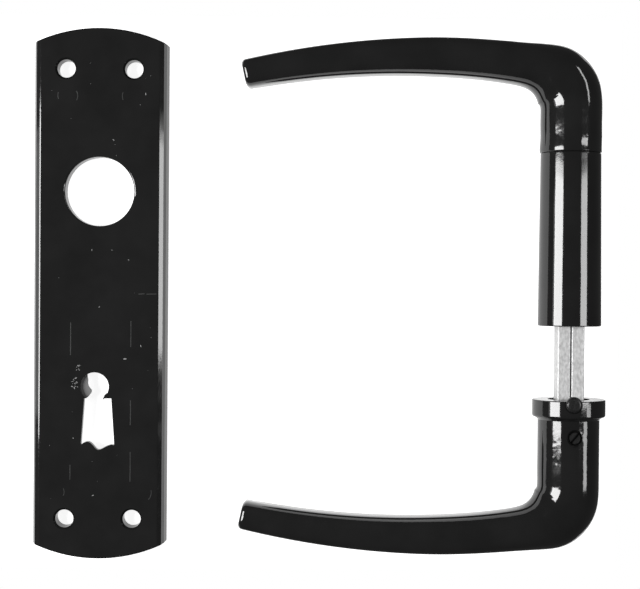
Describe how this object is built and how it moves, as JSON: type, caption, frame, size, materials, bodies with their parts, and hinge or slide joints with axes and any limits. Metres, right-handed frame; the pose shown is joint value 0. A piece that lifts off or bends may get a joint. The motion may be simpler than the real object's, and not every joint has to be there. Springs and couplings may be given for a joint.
{
  "type": "door lever handle set",
  "caption": "Black moulded door lever set: an arched back plate with keyhole, and a lever pair on a square steel spindle, one lever with a long extension sleeve, laid out beside it.",
  "frame": {"origin": "centre of the back plate's lever hole, on the plate's flat back face", "axes": "+X across the plate towards the lever pair, +Y up the plate away from the keyhole, +Z out of the plate's front"},
  "size_m": [0.1716, 0.1591, 0.0226],
  "materials": {
    "black_plastic": "gloss, as moulded",
    "zinc_steel": "zinc plated, mottled",
    "dark_steel": "blackened"
  },
  "bodies": {
    "plate": {"back_plate": "black_plastic"},
    "spindle_side": {"collar_lever": "black_plastic", "spindle": "zinc_steel", "spindle_pin": "dark_steel", "collar_lever_screw": "dark_steel"},
    "sleeve_side": {"sleeve_lever": "black_plastic", "extension_sleeve": "black_plastic", "sleeve_lever_screw": "dark_steel"}
  },
  "joints": [
    {"name": "lever_turn", "type": "hinge", "parent": "plate", "child": "spindle_side", "pos_m": [0.1405, -0.0607, 0.01085], "axis": [0, 0.9998, -0.0173], "range_deg": [0, 45]},
    {"name": "sleeve_lever_slide", "type": "slide", "parent": "spindle_side", "child": "sleeve_side", "axis": [0, -0.9998, 0.0173], "range_m": [-0.0056, 0.0213]}
  ]
}
